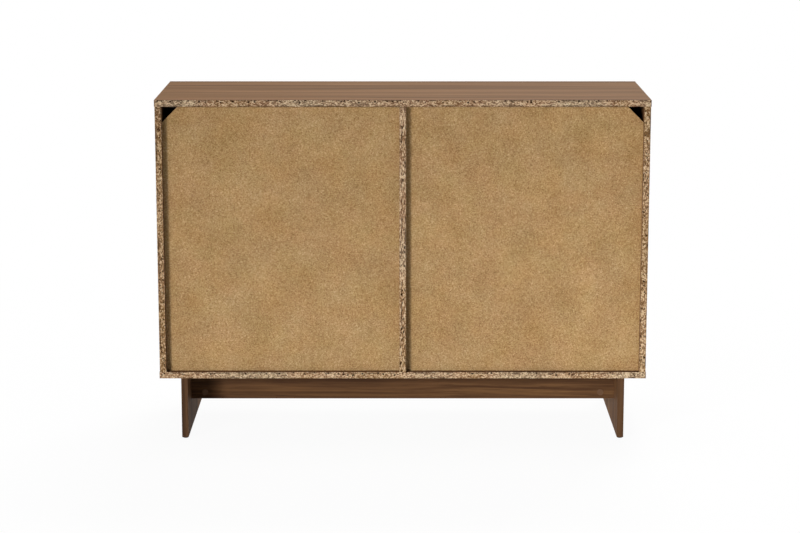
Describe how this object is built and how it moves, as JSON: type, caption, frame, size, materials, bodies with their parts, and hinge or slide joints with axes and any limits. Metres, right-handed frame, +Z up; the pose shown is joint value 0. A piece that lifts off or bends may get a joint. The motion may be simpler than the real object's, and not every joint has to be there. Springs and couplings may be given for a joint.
{
  "type": "sliding door cabinet",
  "caption": "Low walnut-finish sideboard with sliding doors on rollers, adjustable shelves, a recessed hardboard back with corner cable notches and a panel-leg base.",
  "frame": {"origin": "on the floor under the middle of the cabinet", "axes": "+X along the width, to the right as seen from the front; +Y towards the back; +Z up"},
  "size_m": [1.2, 0.4, 0.843],
  "materials": {
    "walnut_board": "walnut-look melamine foil on particle board, fine matt pores",
    "edge_band": "walnut-look PVC edge band, satin",
    "hardboard": "bare brown hardboard, smooth face with fine fibres",
    "track_plastic": "brown extruded PVC, satin",
    "plated_steel": "bright zinc-plated steel",
    "spring_steel": "oiled spring wire",
    "cast_zinc": "die-cast zinc, grey",
    "cap_plastic": "brown moulded cover cap",
    "beech": "fluted beech dowel, raw",
    "bumper_rubber": "clear soft bumper",
    "glide_plastic": "dark brown moulded glide",
    "moulded_nylon": "natural white nylon",
    "pull_metal": "dark bronze lacquered cup"
  },
  "bodies": {
    "carcass": {"top_panel": "walnut_board", "bottom_panel": "walnut_board", "left_side_panel": "walnut_board", "right_side_panel": "walnut_board", "centre_divider": "walnut_board", "left_shelf": "walnut_board", "right_shelf": "walnut_board", "left_leg": "walnut_board", "right_leg": "walnut_board", "front_rail": "walnut_board", "rear_rail": "walnut_board", "left_back_panel": "hardboard", "right_back_panel": "hardboard", "top_edge_bands": "edge_band", "bottom_edge_bands": "edge_band", "side_edge_bands": "edge_band", "divider_edge_band": "edge_band", "shelf_edge_bands": "edge_band", "leg_edge_bands": "edge_band", "rail_edge_bands": "edge_band", "front_lower_track": "track_plastic", "front_upper_track": "track_plastic", "rear_lower_track": "track_plastic", "rear_upper_track": "track_plastic", "shelf_supports": "plated_steel", "door_bumpers": "bumper_rubber", "cam_locks": "cast_zinc", "cam_bolts": "plated_steel", "cam_cover_caps": "cap_plastic", "dowels": "beech", "base_screws": "plated_steel", "leg_glides": "glide_plastic"},
    "left_door": {"left_door_panel": "walnut_board", "left_door_edge_bands": "edge_band", "left_door_pull": "pull_metal", "left_door_roller_housings": "moulded_nylon", "left_door_roller_axles": "plated_steel", "left_door_roller_screws": "plated_steel", "left_door_guide_barrels": "moulded_nylon", "left_door_outer_guide_spring": "spring_steel", "left_door_inner_guide_spring": "spring_steel"},
    "left_door_outer_wheel": {"left_door_outer_wheel": "moulded_nylon"},
    "left_door_outer_guide_pin": {"left_door_outer_guide_pin": "moulded_nylon"},
    "left_door_inner_wheel": {"left_door_inner_wheel": "moulded_nylon"},
    "left_door_inner_guide_pin": {"left_door_inner_guide_pin": "moulded_nylon"},
    "right_door": {"right_door_panel": "walnut_board", "right_door_edge_bands": "edge_band", "right_door_pull": "pull_metal", "right_door_roller_housings": "moulded_nylon", "right_door_roller_axles": "plated_steel", "right_door_roller_screws": "plated_steel", "right_door_guide_barrels": "moulded_nylon", "right_door_outer_guide_spring": "spring_steel", "right_door_inner_guide_spring": "spring_steel"},
    "right_door_outer_wheel": {"right_door_outer_wheel": "moulded_nylon"},
    "right_door_outer_guide_pin": {"right_door_outer_guide_pin": "moulded_nylon"},
    "right_door_inner_wheel": {"right_door_inner_wheel": "moulded_nylon"},
    "right_door_inner_guide_pin": {"right_door_inner_guide_pin": "moulded_nylon"}
  },
  "joints": [
    {"name": "left_door_slide", "type": "slide", "parent": "carcass", "child": "left_door", "axis": [1, 0, 0], "range_m": [0, 0.5652]},
    {"name": "left_door_outer_wheel_spin", "type": "hinge", "parent": "left_door", "child": "left_door_outer_wheel", "pos_m": [-0.5102, -0.188, 0.1763], "axis": [0, 1, 0], "continuous": true},
    {"name": "left_door_outer_guide_pin_press", "type": "slide", "parent": "left_door", "child": "left_door_outer_guide_pin", "axis": [0, 0, -1], "range_m": [0, 0.0085], "stiffness_N_per_m": 300, "springref_m": -0.01, "deforming": ["left_door_outer_guide_spring"]},
    {"name": "left_door_inner_wheel_spin", "type": "hinge", "parent": "left_door", "child": "left_door_inner_wheel", "pos_m": [-0.055, -0.188, 0.1763], "axis": [0, 1, 0], "continuous": true},
    {"name": "left_door_inner_guide_pin_press", "type": "slide", "parent": "left_door", "child": "left_door_inner_guide_pin", "axis": [0, 0, -1], "range_m": [0, 0.0085], "stiffness_N_per_m": 300, "springref_m": -0.01, "deforming": ["left_door_inner_guide_spring"]},
    {"name": "right_door_slide", "type": "slide", "parent": "carcass", "child": "right_door", "axis": [-1, 0, 0], "range_m": [0, 0.5652]},
    {"name": "right_door_outer_wheel_spin", "type": "hinge", "parent": "right_door", "child": "right_door_outer_wheel", "pos_m": [0.5102, -0.168, 0.1763], "axis": [0, -1, 0], "continuous": true},
    {"name": "right_door_outer_guide_pin_press", "type": "slide", "parent": "right_door", "child": "right_door_outer_guide_pin", "axis": [0, 0, -1], "range_m": [0, 0.0085], "stiffness_N_per_m": 300, "springref_m": -0.01, "deforming": ["right_door_outer_guide_spring"]},
    {"name": "right_door_inner_wheel_spin", "type": "hinge", "parent": "right_door", "child": "right_door_inner_wheel", "pos_m": [0.055, -0.168, 0.1763], "axis": [0, -1, 0], "continuous": true},
    {"name": "right_door_inner_guide_pin_press", "type": "slide", "parent": "right_door", "child": "right_door_inner_guide_pin", "axis": [0, 0, -1], "range_m": [0, 0.0085], "stiffness_N_per_m": 300, "springref_m": -0.01, "deforming": ["right_door_inner_guide_spring"]}
  ],
  "couplings": [
    {"joint": "left_door_outer_wheel_spin", "follows": "left_door_slide", "rad_per_m": 90.909},
    {"joint": "left_door_inner_wheel_spin", "follows": "left_door_slide", "rad_per_m": 90.909},
    {"joint": "right_door_outer_wheel_spin", "follows": "right_door_slide", "rad_per_m": 90.909},
    {"joint": "right_door_inner_wheel_spin", "follows": "right_door_slide", "rad_per_m": 90.909}
  ]
}
